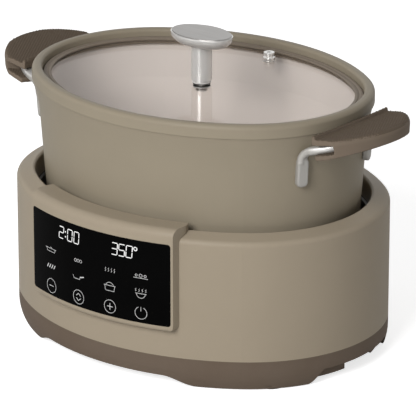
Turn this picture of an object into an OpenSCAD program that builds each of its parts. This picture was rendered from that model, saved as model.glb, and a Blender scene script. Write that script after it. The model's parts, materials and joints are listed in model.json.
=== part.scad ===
// Oval multicooker: a heated base with a touch panel, a lift-out pot with two bow
// handles and a flat glass lid with a steel knob.
// The front is -Y, +X is to the right seen from the front, and the table is z = 0.
// Every oval is a parallel offset of one four-centre oval and is named by its half depth.

/* [Base] */
// Length of the base over its ends
base_length = 340; // [332:1:356]
// Depth of the base from front to back, without the control housing
base_depth = 272; // [264:1:280]
// Height of the crest of the base's rim above the table
base_height = 134.3; // [130:0.1:138]
// Height of the seam between the tray's skirt and the shell
skirt_height = 26.5; // [24:0.5:29]
// Width of the rim from the outer wall to the pot opening
rim_width = 16; // [15:0.5:18]
// Fall of the rim from its crest to its outer edge
rim_fall = 3; // [2:0.5:4]
// Radius of the rim's outer edge
rim_edge_radius = 5; // [3:0.5:6]
// Radius of the rim's edge at the opening
rim_crest_radius = 2.5; // [1.5:0.5:2.5]
// Depth of the lip that turns down into the opening
opening_lip = 18; // [14:1:22]
// Wall thickness of the moulded shell, housing and tray
shell_wall = 3; // [2.5:0.25:3.5]

/* [Tray and feet] */
// Height of the tray floor's underside above the table
tray_floor = 14; // [12.5:0.5:15]
// Thickness of the tray's floor
tray_floor_thickness = 2.5; // [2:0.5:3]
// Inset of the skirt's lower edge from the wall above it
skirt_inset = 4; // [3:0.5:5]
// Height at which the skirt starts to curve inwards
skirt_curve_height = 18; // [16:0.5:20]
// Height of the arches at the front and back
front_arch_height = 8.7; // [7:0.1:10]
// Half width of the flat part of the front and back arches
front_arch_half = 62; // [55:1:68]
// Run of the smooth ends of the front and back arches
front_arch_run = 26; // [20:1:30]
// Height of the arches at the two ends
end_arch_height = 13.5; // [10:0.5:13.5]
// Half width of the flat part of the end arches
end_arch_half = 44; // [40:1:46]
// Run of the smooth ends of the end arches
end_arch_run = 12; // [8:1:14]
// Shift of the end arches towards the back
end_arch_shift = 7; // [0:1:9]
// Gap between the skirt's foot lobes and the table
lobe_gap = 1; // [0.5:0.25:1.5]
// Radius of a rubber foot
foot_radius = 12; // [10:0.5:14]
// Height of a rubber foot
foot_height = 5; // [4:0.5:6]

/* [Control housing] */
// Half width of the raised housing
housing_half = 77; // [77:0.5:80]
// Height of the housing's top above the crest of the base's rim
housing_rise = 5.5; // [5:0.5:8]
// Height of the housing's lower edge above the table
housing_bottom = 51; // [49:0.5:52]
// Reach of the housing past the base's front wall, which it follows
housing_reach = 7.3; // [6.8:0.1:8.5]
// Radius of the housing's upper front edge
housing_edge_radius = 7; // [4:0.5:8]
// Setback of the housing's top from the edge of the pot opening
housing_inner_step = 0.5; // [0.4:0.1:3]
// Half width of the touch panel
panel_half = 75; // [72:0.1:75]
// Height of the touch panel's lower edge
panel_bottom = 55.8; // [55.5:0.1:57]
// Height of the touch panel
panel_height = 71.6; // [68:0.1:71.6]
// Thickness of the touch panel
panel_thickness = 2.2; // [1.8:0.1:2.4]
// Corner radius of the touch panel
panel_corner = 2.5; // [2:0.5:5]

/* [Pot] */
// Height of the heating plate's top, on which the pot stands
plate_top = 52; // [50:0.5:55]
// Height of the pot's rim above the table
rim_height = 225.8; // [218:0.1:235]
// Gap between the base's opening and the pot at the rim's crest
pot_gap = 8; // [7:0.5:9]
// Draft of the pot's wall in degrees
pot_draft = 4.1; // [3:0.1:4.5]
// Thickness of the pot's wall
pot_wall = 4; // [3:0.25:4.5]
// Thickness of the pot's floor
pot_floor = 3.5; // [3:0.25:5]
// Radius of the pot's lower outer corner
pot_corner = 12; // [8:0.5:14]
// Extra width of the flare below the rim
pot_flare = 3.2; // [2:0.1:4]
// Height of the flare below the lip
flare_height = 33; // [25:1:40]
// Height of the lip round the pot's rim
lip_height = 12; // [10:0.5:12.5]
// Step from the flare out to the lip
lip_step = 1; // [0.5:0.1:1.5]
// Width of the lip
lip_width = 9; // [8:0.5:9]
// Depth of the lid's ledge below the rim
lid_recess = 13; // [12.5:0.5:14.5]

/* [Handles] */
// Distance of the bow's centre inside the end of the pot's lip
bow_inset = 12.5; // [10:0.5:13]
// Radius of the bow at the middle of the bar
bow_radius = 43; // [42:0.2:44]
// Tilt of the bow, rising outwards, in degrees
bow_tilt = 15; // [13:0.5:17]
// Depth of the bow's centre below the pot's rim
bow_drop = 25.8; // [25.2:0.1:26.6]
// Width of the bar
bar_width = 9; // [8:0.25:9.5]
// Thickness of the bar
bar_thickness = 5.5; // [5:0.25:6]
// Corner radius of the bar
bar_corner = 1.8; // [1:0.1:2]
// Radius of the bend from bow to leg
bar_bend = 11; // [10:0.5:12]
// Length of the flat leg on the pot's wall
leg_length = 24; // [20:0.5:27]
// Half length of the grip's top along the pot
grip_half = 49.3; // [46:0.1:51]
// Radius of the grip's outer wall
grip_radius = 58.6; // [57.5:0.1:60]
// Distance of the grip's centre outside the bow's centre
grip_shift = 2; // [1:0.1:3]
// Tilt of the grip's top, rising outwards, in degrees
grip_tilt = 10; // [8:0.5:12]
// Depth of the grip's top below the pot's rim, at the grip's centre
grip_drop = 13.8; // [13:0.1:14.4]
// Thickness of the grip's top
grip_top = 4.5; // [3.5:0.25:5]
// Draft of the grip's outer wall in degrees
grip_draft = 9; // [7:0.5:11]
// Height of the ridge along the grip's inner edge
ridge_height = 3; // [2:0.1:3.5]
// Width of the ridge along the grip's inner edge
ridge_width = 2.6; // [2:0.1:4]
// Tilt of the grip's underside, rising outwards, in degrees
lip_tilt = 18; // [16:0.5:19]
// Depth of the grip's underside below the pot's rim, at the bow's centre
lip_drop = 34.8; // [34.3:0.1:35.6]
// Radius of the grip's upper outer edge
grip_edge_radius = 4; // [2:0.25:4]
// Gap between the pot's lip and the grip's inner edge at its middle
grip_gap = 2.5; // [2:0.5:5]

/* [Lid] */
// Thickness of the glass
glass_thickness = 4; // [3.5:0.25:5]
// Width of the lid's rim band over the glass
band_width = 7; // [6.5:0.5:10]
// Depth of the glass edge inside the rim band
band_grip = 4; // [3:0.5:4.5]
// Thickness of the rim band's lower lip
band_lower = 1.2; // [1:0.1:1.6]
// Thickness of the rim band's upper lip
band_upper = 1.4; // [1:0.1:1.8]
// Distance of the steam vent inside the rim band
vent_inset = 15.3; // [13.3:0.1:21.3]

/* [Knob] */
// Length of the knob's oval cap
knob_length = 59; // [52:0.5:64]
// Depth of the knob's oval cap
knob_depth = 39.5; // [36:0.5:44]
// Height of the cap's bowl
knob_bowl = 10; // [8:0.5:12]
// Height of the stem between collar and cap
stem_height = 30.3; // [26:0.1:34]
// Diameter of the stem
stem_diameter = 17.5; // [15:0.5:19]

/* [Heater] */
// Half depth of the heating plate
plate_half = 86; // [82:1:90]
// Thickness of the heating plate
plate_thickness = 6; // [5:0.5:7]
// Height of the posts below the heating plate
post_height = 6.8; // [6:0.1:8]
// Half depth of the element's path
element_half = 58; // [56:0.5:60]
// Diameter of the element's sheath
element_diameter = 7; // [6:0.25:8]
// Thickness of the well's sheet
well_sheet = 1.2; // [0.8:0.1:1.5]
// Diameter of the sensor's cap
sensor_diameter = 19; // [17:0.5:20]
// Travel of the sensor's cap
sensor_travel = 3; // [2:0.25:3]

/* [Hidden] */
$fn = 96;

// Colours
taupe = [0.60, 0.56, 0.48];
dark_taupe = [0.40, 0.35, 0.30];
brown = [0.31, 0.27, 0.23];
steel = [0.75, 0.75, 0.76];
sheet_grey = [0.55, 0.55, 0.56];
black = [0.03, 0.03, 0.03];
board_green = [0.10, 0.35, 0.20];
glass_tint = [0.80, 0.85, 0.85, 0.4];

// Shared clearances
fit_gap = 0.2;
slide_gap = 0.1;
seat_gap = 0.3;
reach = 400;

// Four-centre oval: its arcs meet on lines whose slope is 4 in 3, so that the end
// centres lie at 1.5 and the side centres at 2 times the stretch
oval_stretch = (base_length - base_depth) / 2;
end_share = 1.5;
side_share = 2;
seam_run = 3;
seam_rise = 4;
end_centre = end_share * oval_stretch;
side_centre = side_share * oval_stretch;
end_fullness = end_centre - oval_stretch;
ring_share = 0.7;
core_side_share = 0.75;
core_end_share = 0.8;

// Base
base_half = base_depth / 2;
open_half = base_half - rim_width;
shoulder = base_height - rim_fall;
lip_bottom = base_height - opening_lip;
rim_slope_angle = 72;
shell_inner_fall = 4;
shell_inner_run = 2;

// Tray
tray_top = tray_floor + tray_floor_thickness;
skirt_drop = skirt_curve_height - lobe_gap;
skirt_radius = (skirt_drop * skirt_drop + skirt_inset * skirt_inset) / (2 * skirt_inset);
skirt_sweep = asin(skirt_drop / skirt_radius);
arch_steps = 10;
pad_inset = 7.5;
pad_width = 8;
pad_outer = base_half - pad_inset;
pad_inner = pad_outer - pad_width;
pad_bottom = 4.5;
front_pad = [-46, -9];
back_pad = [32, 50];
foot_inset = 17;
foot_half = base_half - foot_inset;
foot_angle = 40;
foot_post_bottom = foot_height - 2;
foot_post_wall = 2;
vent_count = 5;
vent_pitch = 16;
vent_width = 4;
vent_length = 46;

// Screws
screw_head_radius = 3.5;
screw_head_height = 2.5;
screw_radius = 1.75;
screw_hole = screw_radius + slide_gap;
screw_clear = screw_radius + 0.4;
boss_radius = 5;
boss_inset = 9;
boss_half = base_half - boss_inset;
boss_x = 60;
boss_height = 30;
boss_places = concat(
    [for (side = [-1, 1]) [side * (boss_half + oval_stretch), 0]],
    [for (side = [-1, 1], face = [-1, 1])
        [side * boss_x,
         face * (sqrt(pow(boss_half + side_centre, 2) - pow(boss_x, 2)) - side_centre)]]
);
foot_places = [for (side = [-1, 1], face = [-1, 1])
    [side * (end_centre + (foot_half - end_fullness) * cos(foot_angle)),
     face * (foot_half - end_fullness) * sin(foot_angle)]];

// Heater
plate_bottom = plate_top - plate_thickness;
well_inside = plate_bottom - post_height;
well_bottom = well_inside - well_sheet;
well_half = open_half - 1.3;
seal_thickness = 1;
flange_top = lip_bottom - seal_thickness;
flange_half = open_half + shell_wall + 2;
post_radius = 5;
post_places = [[72, 0], [-72, 0], [0, 40], [0, -40]];
stud_radius = 2;
stud_length = 4;
nut_radius = 4;
nut_height = 3;
well_column_x = 75;
well_column_y = 60;
well_column_places = [for (side = [-1, 1], face = [-1, 1])
    [side * well_column_x, face * well_column_y]];
well_column_radius = 6;
element_radius = element_diameter / 2;
terminal_half = 15;
terminal_radius = 2.4;
terminal_length = 16;
terminal_bottom = plate_bottom - terminal_length;
terminal_y = sqrt(pow(element_half + side_centre, 2) - pow(terminal_half, 2)) - side_centre;
bead_radius = element_radius + 0.8;
terminal_hole = terminal_radius + 2.5;

// Sensor
sensor_radius = sensor_diameter / 2;
sensor_top = plate_top - seat_gap;
sensor_cap_wall = 1.5;
sensor_skirt = 7.5;
sensor_opening = sensor_radius + 3.5;
guide_wall = 1.4;
guide_flange = 5;
guide_flange_thickness = 1.8;
guide_top = plate_bottom + 2;
thermistor_radius = 3;
thermistor_height = 3;
spring_wire = 0.6;
spring_radius = 6.4;
spring_turns = 5;
spring_rings = 12;
spring_sides = 6;

// Housing and panel
housing_front = base_half + housing_reach;
housing_axis = side_centre;
housing_plan_radius = housing_front + housing_axis;
housing_top = base_height + housing_rise;
housing_depth = 45;
housing_overrun = 6;
housing_sweep = asin((housing_half + housing_overrun) / housing_plan_radius);
housing_lower_radius = 3;
housing_corner = 5;
pocket_depth = panel_thickness + slide_gap;
backing = 2;
window_half = panel_half - 4.2;
window_bottom = panel_bottom + 3;
window_top = panel_bottom + panel_height - 3;
board_setback = 12.8;
board_thickness = 1.6;
board_side_inset = 19;
board_half = window_half - board_side_inset;
board_bottom = window_bottom + 2;
board_top = window_top - 3;
board_front = -housing_front + board_setback;
board_screw_inset = 4;
board_screw_radius = 1.4;
board_screw_head = 3;
screw_tip_gap = 0.4;
board_screw_length = board_boss_length() - screw_tip_gap;
board_boss_radius = 3.5;
module_depth = 6.5;
module_rise = 44;
module_bottom = panel_bottom + module_rise;
module_height = 20;
module_width = 26;
module_centres = [-25, 25];

// Power electronics
power_size = [90, 44];
power_inset = 54;
power_centre = [0, base_half - power_inset];
power_bottom = tray_top + 3.5;
power_post_radius = 3.5;
power_post_inset = 5;
power_top = power_bottom + board_thickness;
relay_size = [19, 15, 10];
relay_shift = [-30, 4];
relay_centre = power_centre + relay_shift;
coil_size = [17, 17, 11];
coil_shift = [28, 4];
coil_centre = power_centre + coil_shift;
capacitor_radius = 5;
capacitor_height = 10.5;
capacitor_shift = [0, 10];
capacitor_centre = power_centre + capacitor_shift;
lead_radius = 1.5;
lead_height = terminal_bottom - 3;
lead_inset = 10;
lead_end = power_centre[1] - lead_inset;
ribbon_width = 12;
ribbon_x = -30;
ribbon_thickness = 1.2;
ribbon_height = 27;
ribbon_rise = 10;
ribbon_start = board_bottom + ribbon_rise;
ribbon_inset = 16;
ribbon_end = power_centre[1] - ribbon_inset;
gland_height = 42;
gland_bore = 4;
gland_body = 8.8;
gland_flange = 13;
gland_reach = housing_front;
gland_inside = base_half - shell_wall - 4;

// Pot
pot_half_at_crest = open_half - pot_gap;
lip_underside = rim_height - lip_height;
flare_start = lip_underside - flare_height;
rim_half = pot_half(lip_underside) + pot_flare + lip_step;
ledge_height = rim_height - lid_recess;
ledge_half = pot_half(flare_start) - pot_wall;
lip_inner = rim_half - lip_width;
pot_inside = plate_top + pot_floor;
pot_core = 70;
flare_steps = 8;
lip_outer_radius = 4;
lip_inner_radius = 3;

// Handles
bow_height = rim_height - bow_drop;
bow_centre = rim_half + oval_stretch - bow_inset;
bow_sweep = 80;
wall_sweep = 53;
tail_sweep = 72;
wall_step = 0.4;
bend_inset = 0.15;
bend_overlap = 8;
bend_run = bar_bend * (1 - sin(bow_tilt));
bend_end = [
    bow_centre + bow_radius * cos(bow_sweep) * cos(bow_tilt) - bend_run * sin(bow_sweep),
    bow_radius * sin(bow_sweep) + bend_run * cos(bow_sweep),
    bow_height + bow_radius * cos(bow_sweep) * sin(bow_tilt) - bar_bend * cos(bow_tilt)
];
leg_angle = atan2(bend_end[1], bend_end[0] - end_centre);
leg_corner = 3;
leg_overlap = 3;
leg_sink = 1;
leg_clear = 0.1;
leg_middle = bend_end[2] + leg_overlap - leg_length / 2;
leg_radius = pot_half(leg_middle) - end_fullness + leg_clear;
channel_half = bar_thickness / 2 + fit_gap;
channel_outer = bow_radius + bar_width / 2 + fit_gap;
channel_inner = bow_radius - bar_width / 2;
grip_centre = bow_centre + grip_shift;
grip_height = rim_height - grip_drop;
grip_depth = 40;
lip_height_at_centre = rim_height - lip_drop;
grip_inner = rim_half + oval_stretch + grip_gap;
grip_inner_radius = 600;

// Lid
lid_seat = ledge_height;
band_outer = lip_inner - 0.6;
band_inner = band_outer - band_width;
glass_half = band_inner + band_grip;
glass_bottom = lid_seat + band_lower;
glass_top = glass_bottom + glass_thickness;
band_top = glass_top + band_upper;
bead_width = 2.4;
groove_width = 1.2;
groove_depth = 0.5;
band_lower_share = 0.6;
vent_distance = band_inner - vent_inset;
vent_hole = 4.1;
vent_bore = 1.8;
vent_tube = 3.9;
vent_flange = 5;
vent_neck = 3.4;
vent_head = 4.7;
vent_flange_height = 1;
vent_neck_height = 2.5;
vent_head_height = 1.8;

// Knob
gasket_thickness = 1;
collar_height = 2.5;
collar_radius = stem_diameter / 2 + 1.6;
gasket_radius = collar_radius + 0.6;
knob_screw_radius = 2.5;
knob_bore = knob_screw_radius + slide_gap;
knob_bore_depth = 16;
glass_hole = knob_screw_radius + 0.6;
washer_radius = 10;
washer_thickness = 1;
knob_head_radius = 5;
knob_head_height = 3;
collar_bottom = glass_top + gasket_thickness;
stem_bottom = collar_bottom + collar_height;
cap_bottom = stem_bottom + stem_height;
cap_top = cap_bottom + knob_bowl;
cap_edge = 1;
cap_rim = 0.9;
cap_foot = stem_diameter / 2;
knob_stretch = (knob_length - knob_depth) / 2;
cap_core_ring = knob_stretch / 2 + 0.6;
cap_core_side = cap_core_ring + 0.3;
cap_core_end = cap_core_ring + 0.7;
disc_thickness = 1.6;
disc_recess = 0.8;
bowl_steps = 10;

// Half depth of the pot's outer wall at a height, before the flare
function pot_half(z) = pot_half_at_crest + (z - base_height) * tan(pot_draft);

// Points of an arc in a profile
function arc(centre, radius, from, to, steps = 8) = [
    for (i = [0 : steps])
        let (a = from + (to - from) * i / steps)
            centre + radius * [cos(a), sin(a)]
];

// Rounded rectangle about the origin, as a 2D shape with true arcs
module rounded_rect(width, height, radius) {
    square([width - 2 * radius, height], center = true);
    square([width, height - 2 * radius], center = true);
    for (x = [-1, 1], y = [-1, 1])
        translate([x * (width / 2 - radius), y * (height / 2 - radius)]) circle(r = radius);
}

// Revolves a profile of half depth and height about the centre of one end's arc
module end_revolve(side, stretch = oval_stretch) {
    translate([side * end_share * stretch, 0, 0])
        rotate_extrude() translate([(1 - end_share) * stretch, 0]) children();
}

// Revolves a profile about the centre of the arc on the front (-1) or back (1)
module side_revolve(side, stretch = oval_stretch) {
    translate([0, -side * side_share * stretch, 0])
        rotate_extrude() translate([side_share * stretch, 0]) children();
}

// Sweeps a profile of half depth and height round the oval
module oval_sweep(stretch = oval_stretch) {
    corner = [end_share * stretch + seam_run * reach, seam_rise * reach];
    for (side = [-1, 1]) {
        intersection() {
            end_revolve(side, stretch) children();
            linear_extrude(reach) polygon([
                [side * end_share * stretch, 0],
                [side * corner[0], corner[1]],
                [side * corner[0], -corner[1]]
            ]);
        }
        intersection() {
            side_revolve(side, stretch) children();
            linear_extrude(reach) polygon([
                [0, -side * side_share * stretch],
                [corner[0], side * corner[1]],
                [-corner[0], side * corner[1]]
            ]);
        }
    }
}

// Rectangular section of a ring
module ring_section(inner, outer, bottom, top) {
    translate([inner, bottom]) square([outer - inner, top - bottom]);
}

// Ring of rectangular section round the oval
module oval_ring(inner, outer, bottom, top, stretch = oval_stretch) {
    oval_sweep(stretch) ring_section(inner, outer, bottom, top);
}

// Plain core that fills the hole of a ring
module oval_core(side_half, end_radius, bottom, top, stretch = oval_stretch) {
    translate([0, 0, bottom]) linear_extrude(top - bottom) {
        square([2 * stretch, 2 * side_half], center = true);
        for (side = [-1, 1]) translate([side * stretch, 0]) circle(r = end_radius);
    }
}

// Solid oval plate
module oval_plate(half, bottom, top, stretch = oval_stretch) {
    oval_ring(ring_share * half, half, bottom, top, stretch);
    oval_core(core_side_share * half, core_end_share * half, bottom, top, stretch);
}

// Box given by its lowest and highest corners
module span(low, high) {
    translate(low) cube(high - low);
}

// Upright screw: head at the given height, shank pointing up (1) or down (-1)
module screw(way, length) {
    mirror([0, 0, way > 0 ? 0 : 1]) {
        translate([0, 0, -screw_head_height])
            cylinder(r = screw_head_radius, h = screw_head_height);
        translate([0, 0, -slide_gap]) cylinder(r = screw_radius, h = length + slide_gap);
    }
}

// Outer line of the base shell from the seam to the opening, grown by a clearance
function shell_line(grow) = concat(
    [[base_half + grow, skirt_height]],
    arc([base_half - rim_edge_radius, shoulder - rim_edge_radius],
        rim_edge_radius + grow, 0, rim_slope_angle),
    arc([open_half + rim_crest_radius, base_height - rim_crest_radius],
        rim_crest_radius + grow, 90, 180)
);

module base_shell() {
    color(taupe) {
        difference() {
            oval_sweep() polygon(concat(
                shell_line(0),
                [[open_half, lip_bottom],
                 [open_half + shell_wall, lip_bottom],
                 [open_half + shell_wall, base_height - shell_wall - rim_crest_radius],
                 [base_half - shell_wall - shell_inner_run, shoulder - shell_inner_fall],
                 [base_half - shell_wall, shoulder - shell_inner_fall - rim_edge_radius / 2],
                 [base_half - shell_wall, skirt_height]]
            ));
            intersection() {
                side_revolve(-1)
                    ring_section(base_half - 2 * shell_wall, base_half + shell_wall,
                                 window_bottom, window_top);
                span([-window_half, -reach, 0], [window_half, 0, reach]);
            }
            translate([0, 0, gland_height]) rotate([-90, 0, 0])
                cylinder(r = gland_body + fit_gap, h = reach);
        }
        difference() {
            union() {
                for (place = boss_places)
                    translate([place[0], place[1], tray_top])
                        cylinder(r = boss_radius, h = boss_height);
                boss_webs();
            }
            for (place = boss_places)
                translate([place[0], place[1], tray_top - 1])
                    cylinder(r = screw_hole, h = boss_height - shell_wall + 1);
        }
    }
}

// Webs that join the screw bosses to the shell's wall above the seam
module boss_webs() {
    intersection() {
        oval_ring(boss_half, base_half - shell_wall / 2, skirt_height, tray_top + boss_height);
        for (place = boss_places)
            translate([place[0], place[1], 0])
                rotate([0, 0, atan2(place[1], place[0])])
                    span([0, -shell_wall / 2, skirt_height],
                         [3 * boss_radius, shell_wall / 2, tray_top + boss_height]);
    }
}

// Arc body of the housing's front, from an inner to an outer radius of its plan arc
module housing_arc(inner, outer, bottom, top) {
    translate([0, housing_axis, 0]) rotate([0, 0, 270 - housing_sweep])
        rotate_extrude(angle = 2 * housing_sweep)
            translate([inner, bottom]) square([outer - inner, top - bottom]);
}

// Prism through the front with the panel's rounded outline, grown by a clearance
module panel_outline(grow) {
    translate([0, 0, panel_bottom + panel_height / 2]) rotate([90, 0, 0])
        linear_extrude(reach)
            rounded_rect(2 * (panel_half + grow), panel_height + 2 * grow, panel_corner + grow);
}

// Full outer body of the housing
module housing_body() {
    intersection() {
        translate([0, housing_axis, 0]) rotate([0, 0, 270 - housing_sweep])
            rotate_extrude(angle = 2 * housing_sweep)
                polygon(concat(
                    [[housing_plan_radius - housing_depth, housing_bottom]],
                    arc([housing_plan_radius - housing_lower_radius,
                         housing_bottom + housing_lower_radius],
                        housing_lower_radius, -90, 0, 4),
                    arc([housing_plan_radius - housing_edge_radius,
                         housing_top - housing_edge_radius], housing_edge_radius, 0, 90),
                    [[housing_plan_radius - housing_depth, housing_top]]
                ));
        translate([0, 0, housing_bottom + reach / 2]) rotate([90, 0, 0])
            linear_extrude(reach) rounded_rect(2 * housing_half, reach, housing_corner);
    }
}

module control_housing() {
    color(taupe) {
        difference() {
            housing_body();
            side_revolve(-1) polygon(concat(
                [[pot_core, skirt_height]],
                shell_line(fit_gap),
                [[pot_core, base_height]]
            ));
            side_revolve(-1)
                ring_section(pot_core, open_half + housing_inner_step, base_height / 2, reach);
            intersection() {
                housing_arc(housing_plan_radius - pocket_depth, housing_plan_radius + reach,
                            0, reach);
                panel_outline(slide_gap);
            }
            intersection() {
                housing_arc(housing_plan_radius - housing_depth,
                            housing_plan_radius - pocket_depth - backing,
                            window_bottom, window_top);
                span([-window_half, -reach, 0], [window_half, 0, reach]);
            }
            for (x = module_centres)
                translate([x, 0, 0])
                    span([-module_width / 2 - fit_gap, -reach, module_bottom - fit_gap],
                         [module_width / 2 + fit_gap, board_front,
                          module_bottom + module_height + fit_gap]);
        }
        for (x = [-1, 1], z = board_screw_heights())
            translate([x * (board_half - board_screw_inset), board_front, z])
                rotate([90, 0, 0]) board_boss();
    }
}

function board_screw_heights() = [board_bottom + board_screw_inset, board_top - board_screw_inset];

// Length from the board's front to the housing's backing at the board's screws
function board_boss_length() =
    board_front - housing_axis
    + sqrt(pow(housing_plan_radius - pocket_depth - backing, 2)
           - pow(board_half - board_screw_inset, 2));

module board_boss() {
    difference() {
        cylinder(r = board_boss_radius, h = board_boss_length() + backing / 2);
        translate([0, 0, -1])
            cylinder(r = board_screw_radius + slide_gap, h = board_screw_length + 1 + fit_gap);
    }
}

module touch_panel() {
    color(black) intersection() {
        housing_arc(housing_plan_radius - panel_thickness, housing_plan_radius, 0, reach);
        panel_outline(0);
    }
}

module control_board() {
    color(board_green) difference() {
        span([-board_half, board_front, board_bottom],
             [board_half, board_front + board_thickness, board_top]);
        for (x = [-1, 1], z = board_screw_heights())
            translate([x * (board_half - board_screw_inset), board_front - 1, z])
                rotate([-90, 0, 0])
                    cylinder(r = board_screw_radius + fit_gap, h = board_thickness + 2);
    }
}

module display_modules() {
    color("white") for (x = module_centres)
        translate([x, 0, 0])
            span([-module_width / 2, board_front - module_depth, module_bottom],
                 [module_width / 2, board_front, module_bottom + module_height]);
}

module board_screws() {
    color(steel) for (x = [-1, 1], z = board_screw_heights())
        translate([x * (board_half - board_screw_inset), board_front + board_thickness, z])
            rotate([90, 0, 0]) {
                translate([0, 0, -screw_head_height])
                    cylinder(r = board_screw_head, h = screw_head_height);
                translate([0, 0, -slide_gap])
                    cylinder(r = board_screw_radius,
                             h = board_thickness + board_screw_length + slide_gap);
            }
}

// Outline of an arch: flat in the middle with smooth ends, open below
module arch_outline(half, run, height) {
    polygon(concat(
        [[-half - run, -reach / 8]],
        [for (i = [0 : arch_steps])
            [-half - run + run * i / arch_steps,
             lobe_gap + (height - lobe_gap) * (1 - cos(180 * i / arch_steps)) / 2]],
        [for (i = [0 : arch_steps])
            [half + run * i / arch_steps,
             lobe_gap + (height - lobe_gap) * (1 + cos(180 * i / arch_steps)) / 2]],
        [[half + run, -reach / 8]]
    ));
}

// Skirt wall of the tray down to the foot lobes
module skirt_ring() {
    oval_sweep() polygon(concat(
        [[base_half - shell_wall, skirt_height], [base_half, skirt_height]],
        arc([base_half - skirt_radius, skirt_curve_height], skirt_radius, 0, -skirt_sweep),
        [[base_half - skirt_inset - shell_wall, lobe_gap],
         [base_half - shell_wall, tray_floor]]
    ));
}

module bottom_tray() {
    color(dark_taupe) difference() {
        union() {
            difference() {
                skirt_ring();
                for (side = [-1, 1]) {
                    translate([0, side * (reach / 2 + base_half / 2), 0]) rotate([90, 0, 0])
                        linear_extrude(reach, center = true)
                            arch_outline(front_arch_half, front_arch_run, front_arch_height);
                    translate([side * (reach / 2 + base_half / 2), end_arch_shift, 0])
                        rotate([90, 0, 90]) linear_extrude(reach, center = true)
                            arch_outline(end_arch_half, end_arch_run, end_arch_height);
                }
            }
            oval_plate(base_half - shell_wall / 2, tray_floor, tray_top);
            intersection() {
                oval_ring(pad_inner, pad_outer, pad_bottom, tray_top);
                for (side = [-1, 1], pad = [front_pad, back_pad])
                    translate([side * (base_half + end_centre), (pad[0] + pad[1]) / 2, 0])
                        cube([base_half, pad[1] - pad[0], reach], center = true);
            }
            for (place = foot_places)
                translate([place[0], place[1], foot_post_bottom])
                    cylinder(r = foot_radius + fit_gap + foot_post_wall,
                             h = tray_top - foot_post_bottom);
            for (place = well_column_places)
                translate([place[0], place[1], tray_floor])
                    cylinder(r = well_column_radius, h = well_bottom - tray_floor);
            for (place = power_posts())
                translate([place[0], place[1], tray_floor])
                    cylinder(r = power_post_radius, h = power_bottom - tray_floor);
        }
        for (place = boss_places)
            translate([place[0], place[1], 0]) cylinder(r = screw_clear, h = skirt_height);
        for (place = foot_places)
            translate([place[0], place[1], 0]) cylinder(r = foot_radius + fit_gap, h = foot_height);
        for (place = well_column_places)
            translate([place[0], place[1], tray_top]) cylinder(r = screw_hole, h = reach);
        for (i = [0 : vent_count - 1])
            translate([(i - (vent_count - 1) / 2) * vent_pitch, 0, 0])
                cube([vent_width, vent_length, 3 * tray_top], center = true);
    }
}

function power_posts() = [for (x = [-1, 1], y = [-1, 1])
    power_centre + [x * (power_size[0] / 2 - power_post_inset),
                    y * (power_size[1] / 2 - power_post_inset)]];

module rubber_feet() {
    color(black) for (place = foot_places)
        translate([place[0], place[1], 0]) cylinder(r = foot_radius, h = foot_height);
}

module tray_screws() {
    color(steel) for (place = boss_places)
        translate([place[0], place[1], tray_floor]) screw(1, boss_height / 2);
}

module inner_well() {
    color(sheet_grey) difference() {
        union() {
            oval_ring(well_half - well_sheet, well_half, well_bottom, flange_top);
            oval_ring(well_half - well_sheet, flange_half, flange_top - well_sheet, flange_top);
            oval_plate(well_half - well_sheet / 2, well_bottom, well_inside);
        }
        for (place = well_column_places)
            translate([place[0], place[1], 0]) cylinder(r = screw_clear, h = plate_bottom);
        for (place = post_places)
            translate([place[0], place[1], 0]) cylinder(r = stud_radius + fit_gap, h = plate_bottom);
        for (side = [-1, 1])
            translate([side * terminal_half, terminal_y, 0])
                cylinder(r = terminal_hole, h = plate_bottom);
    }
}

module well_seal() {
    color(black) oval_ring(open_half + fit_gap, open_half + shell_wall, flange_top, lip_bottom);
}

module well_screws() {
    color(steel) for (place = well_column_places)
        translate([place[0], place[1], well_inside]) screw(-1, post_height * 2);
}

module heating_plate() {
    color(sheet_grey) difference() {
        oval_plate(plate_half, plate_bottom, plate_top);
        translate([0, 0, plate_bottom - 1]) cylinder(r = sensor_opening, h = plate_thickness + 2);
        element_path(element_radius + slide_gap);
        for (side = [-1, 1])
            translate([side * terminal_half, terminal_y, plate_bottom])
                sphere(r = bead_radius + slide_gap);
    }
}

// Tube round the oval at the plate's underside, open between the terminals at the back
module element_path(tube_radius) {
    difference() {
        oval_sweep() translate([element_half, plate_bottom]) circle(r = tube_radius);
        span([-terminal_half, 0, 0], [terminal_half, base_half, reach]);
    }
}

module heating_element() {
    color(brown) {
        element_path(element_radius);
        for (side = [-1, 1])
            translate([side * terminal_half, terminal_y, 0]) {
                translate([0, 0, plate_bottom]) sphere(r = bead_radius);
                translate([0, 0, terminal_bottom])
                    cylinder(r = terminal_radius, h = terminal_length);
            }
    }
}

module plate_posts() {
    color(steel) for (place = post_places)
        translate([place[0], place[1], 0]) {
            translate([0, 0, well_inside]) cylinder(r = post_radius, h = post_height);
            translate([0, 0, well_bottom - stud_length])
                cylinder(r = stud_radius, h = stud_length + well_sheet + post_height / 2);
            translate([0, 0, well_bottom - nut_height]) cylinder(r = nut_radius, h = nut_height);
        }
}

module sensor_guide() {
    color(steel) difference() {
        union() {
            translate([0, 0, well_inside])
                cylinder(r = sensor_radius + guide_flange, h = guide_flange_thickness);
            translate([0, 0, well_inside])
                cylinder(r = sensor_radius + slide_gap + guide_wall, h = guide_top - well_inside);
        }
        translate([0, 0, well_inside - 1]) cylinder(r = sensor_radius + slide_gap, h = reach);
    }
}

module sensor_cap() {
    color(steel) difference() {
        translate([0, 0, sensor_top - sensor_skirt])
            cylinder(r = sensor_radius, h = sensor_skirt);
        translate([0, 0, sensor_top - sensor_skirt - 1])
            cylinder(r = sensor_radius - sensor_cap_wall, h = sensor_skirt + 1 - sensor_cap_wall);
    }
}

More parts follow.
